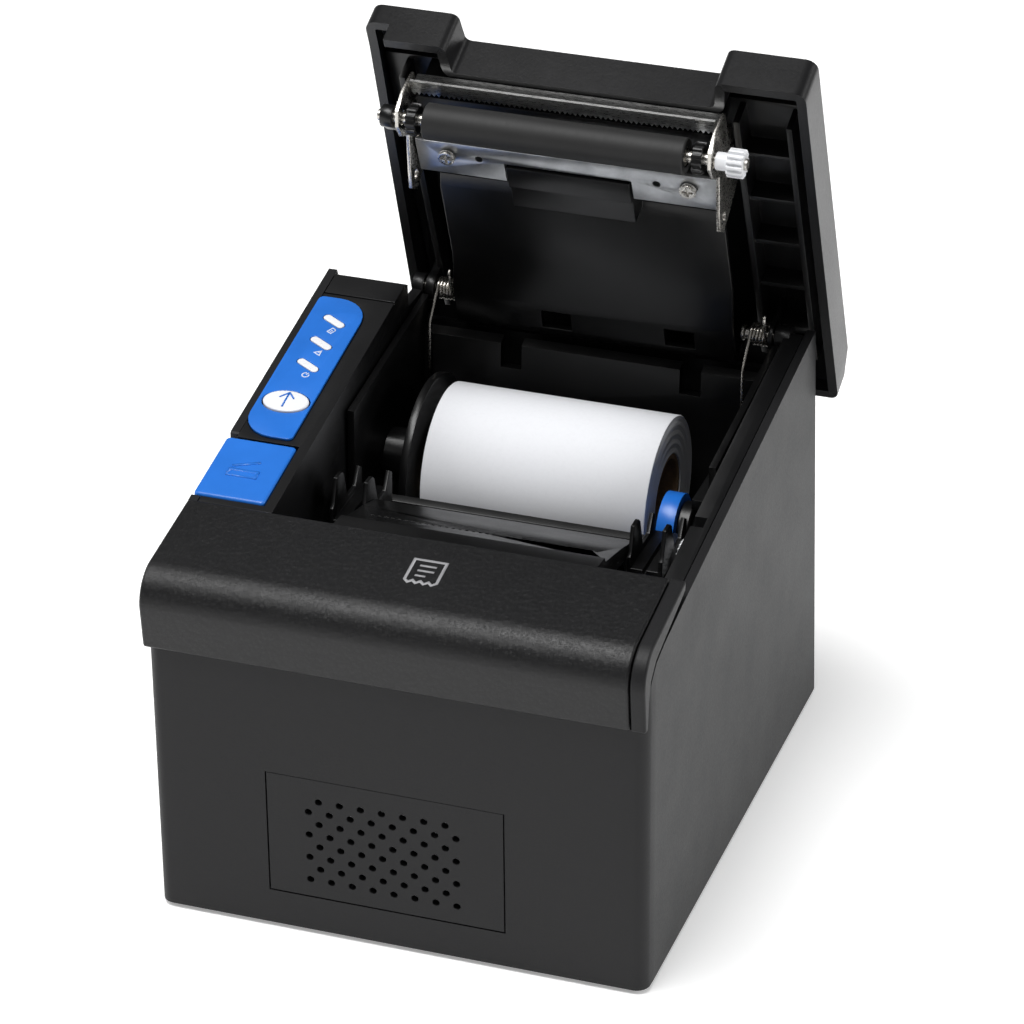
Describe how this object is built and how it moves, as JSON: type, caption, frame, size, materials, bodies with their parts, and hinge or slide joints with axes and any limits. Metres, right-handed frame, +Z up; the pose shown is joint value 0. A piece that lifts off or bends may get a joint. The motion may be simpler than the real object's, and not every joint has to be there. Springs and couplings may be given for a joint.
{
  "type": "receipt printer",
  "caption": "Compact desktop thermal receipt printer with a hinged lid standing open over a drop-in paper roll, a platen on the lid, a lid release key and an indicator panel.",
  "frame": {"origin": "on the surface the feet stand on, under the middle of the printer's bounding box with its lid open", "axes": "+X to the printer's right seen from the front, +Y to its rear, +Z up"},
  "size_m": [0.1494, 0.1876, 0.2256],
  "materials": {
    "charcoal_plastic": "fine matt texture",
    "cover_black": "satin, leather-grain texture",
    "inner_black": "plain moulded, slightly glossy",
    "blue_plastic": "satin",
    "white_plastic": "satin",
    "rubber": "ground matt",
    "steel": "brushed, nickel plated",
    "zinc_steel": "zinc plated, satin",
    "aluminium": "as extruded",
    "paper": "smooth coated paper",
    "core_board": "rolled cardboard",
    "circuit_board": "solder mask",
    "ceramic": "glazed"
  },
  "bodies": {
    "case": {"bottom_plate": "inner_black", "cash_drawer_port": "inner_black", "control_pod": "cover_black", "dc_inlet": "inner_black", "error_lens": "white_plastic", "front_cover": "cover_black", "head_heatsink": "aluminium", "head_spring": "steel", "indicator_panel": "blue_plastic", "lan_port": "zinc_steel", "left_cradle": "inner_black", "left_hinge_pin": "steel", "left_spring_case_leg": "steel", "lower_housing": "charcoal_plastic", "main_board": "circuit_board", "mechanism_frame": "zinc_steel", "mechanism_lip": "inner_black", "paper_bay": "inner_black", "paper_lens": "white_plastic", "power_lens": "white_plastic", "rear_panel": "charcoal_plastic", "right_cradle": "inner_black", "right_hinge_pin": "steel", "right_side_rail": "inner_black", "right_spring_case_leg": "steel", "rubber_foot_1": "rubber", "rubber_foot_2": "rubber", "rubber_foot_3": "rubber", "rubber_foot_4": "rubber", "speaker": "steel", "stepper_motor": "aluminium", "thermal_print_head": "ceramic", "usb_port": "zinc_steel"},
    "lid": {"lid_shell": "cover_black", "lid_inner_frame": "inner_black", "lid_paper_guide": "inner_black", "platen_bracket": "zinc_steel", "left_bracket_screw": "steel", "right_bracket_screw": "steel", "left_side_plate": "steel", "right_side_plate": "steel", "tear_bar": "steel", "left_bearing": "inner_black", "right_bearing": "inner_black", "left_spring_lid_leg": "steel", "right_spring_lid_leg": "steel"},
    "platen": {"platen_roller": "rubber", "platen_shaft": "steel", "platen_gear": "white_plastic"},
    "latch": {"latch_lever": "inner_black"},
    "push_key": {"push_button": "blue_plastic"},
    "feed_key": {"feed_button": "white_plastic"},
    "roll": {"paper_roll": "paper", "roll_core": "core_board"},
    "near_end_adjuster": {"adjuster_dial": "inner_black", "adjuster_lever": "blue_plastic"},
    "power_key": {"power_rocker": "inner_black"},
    "pinion": {"motor_pinion": "steel"},
    "reducer": {"reduction_gear": "white_plastic"},
    "idler": {"idler_gear": "white_plastic"}
  },
  "joints": [
    {"name": "lid_hinge", "type": "hinge", "parent": "case", "child": "lid", "pos_m": [0, 0.07026, 0.1276], "axis": [1, 0, 0], "range_deg": [0, 75.5], "stiffness_Nm_per_rad": 0.11, "springref_deg": -85.94},
    {"name": "platen_spin", "type": "hinge", "parent": "lid", "child": "platen", "pos_m": [0, 0.02812, 0.20053], "axis": [1, 0, 0], "continuous": true},
    {"name": "latch_turn", "type": "hinge", "parent": "lid", "child": "latch", "pos_m": [0, 0.02812, 0.20053], "axis": [1, 0, 0], "range_deg": [0, 18], "stiffness_Nm_per_rad": 0.01, "springref_deg": -11.46},
    {"name": "push_travel", "type": "slide", "parent": "case", "child": "push_key", "axis": [0, 0.1843, -0.9829], "range_m": [0, 0.0025], "stiffness_N_per_m": 500, "springref_m": -0.0008},
    {"name": "feed_travel", "type": "slide", "parent": "case", "child": "feed_key", "axis": [0, 0.1843, -0.9829], "range_m": [0, 0.0008], "stiffness_N_per_m": 300, "springref_m": -0.0005},
    {"name": "roll_spin", "type": "hinge", "parent": "case", "child": "roll", "pos_m": [0, 0.03226, 0.0903], "axis": [1, 0, 0], "continuous": true},
    {"name": "near_end_turn", "type": "hinge", "parent": "case", "child": "near_end_adjuster", "pos_m": [0, 0.01446, 0.0914], "axis": [1, 0, 0], "range_deg": [0, 30]},
    {"name": "power_rock", "type": "hinge", "parent": "case", "child": "power_key", "pos_m": [0, 0.08026, 0.024], "axis": [1, 0, 0], "range_deg": [0, 12]},
    {"name": "idler_spin", "type": "hinge", "parent": "case", "child": "idler", "pos_m": [0, -0.01154, 0.0932], "axis": [1, 0, 0], "continuous": true},
    {"name": "reducer_spin", "type": "hinge", "parent": "case", "child": "reducer", "pos_m": [0, -0.01554, 0.0804], "axis": [1, 0, 0], "continuous": true},
    {"name": "pinion_spin", "type": "hinge", "parent": "case", "child": "pinion", "pos_m": [0, -0.02014, 0.0736], "axis": [1, 0, 0], "continuous": true}
  ],
  "couplings": [
    {"joint": "reducer_spin", "follows": "idler_spin", "ratio": -1.5556},
    {"joint": "pinion_spin", "follows": "idler_spin", "ratio": 2.8}
  ]
}
